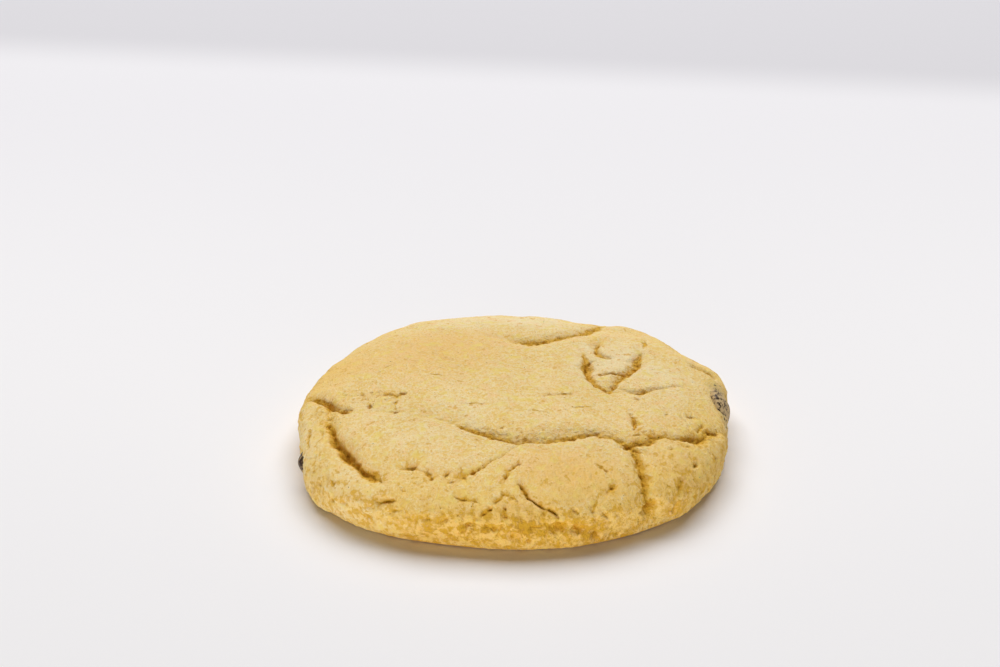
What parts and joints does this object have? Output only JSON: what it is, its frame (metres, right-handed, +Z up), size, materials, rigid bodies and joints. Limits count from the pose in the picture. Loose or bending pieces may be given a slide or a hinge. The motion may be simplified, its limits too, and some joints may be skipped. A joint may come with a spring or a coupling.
{
  "type": "sugar cookie",
  "caption": "Thick soft round sugar cookie with a folded, crackled golden top, a rounded flank, a flat base and dark chips in its rim.",
  "frame": {"origin": "on the table under the middle of the cookie", "axes": "+Z up out of the crackled top, -Y towards the front that the picture shows, +X to the right"},
  "size_m": [0.0914, 0.09, 0.0166],
  "materials": {
    "baked_dough": "matt, grainy baked dough, golden in the cracks",
    "dark_chip": "satin dark chocolate"
  },
  "bodies": {
    "root": {"cookie": "baked_dough", "chip_left": "dark_chip", "chip_right": "dark_chip"}
  },
  "joints": []
}
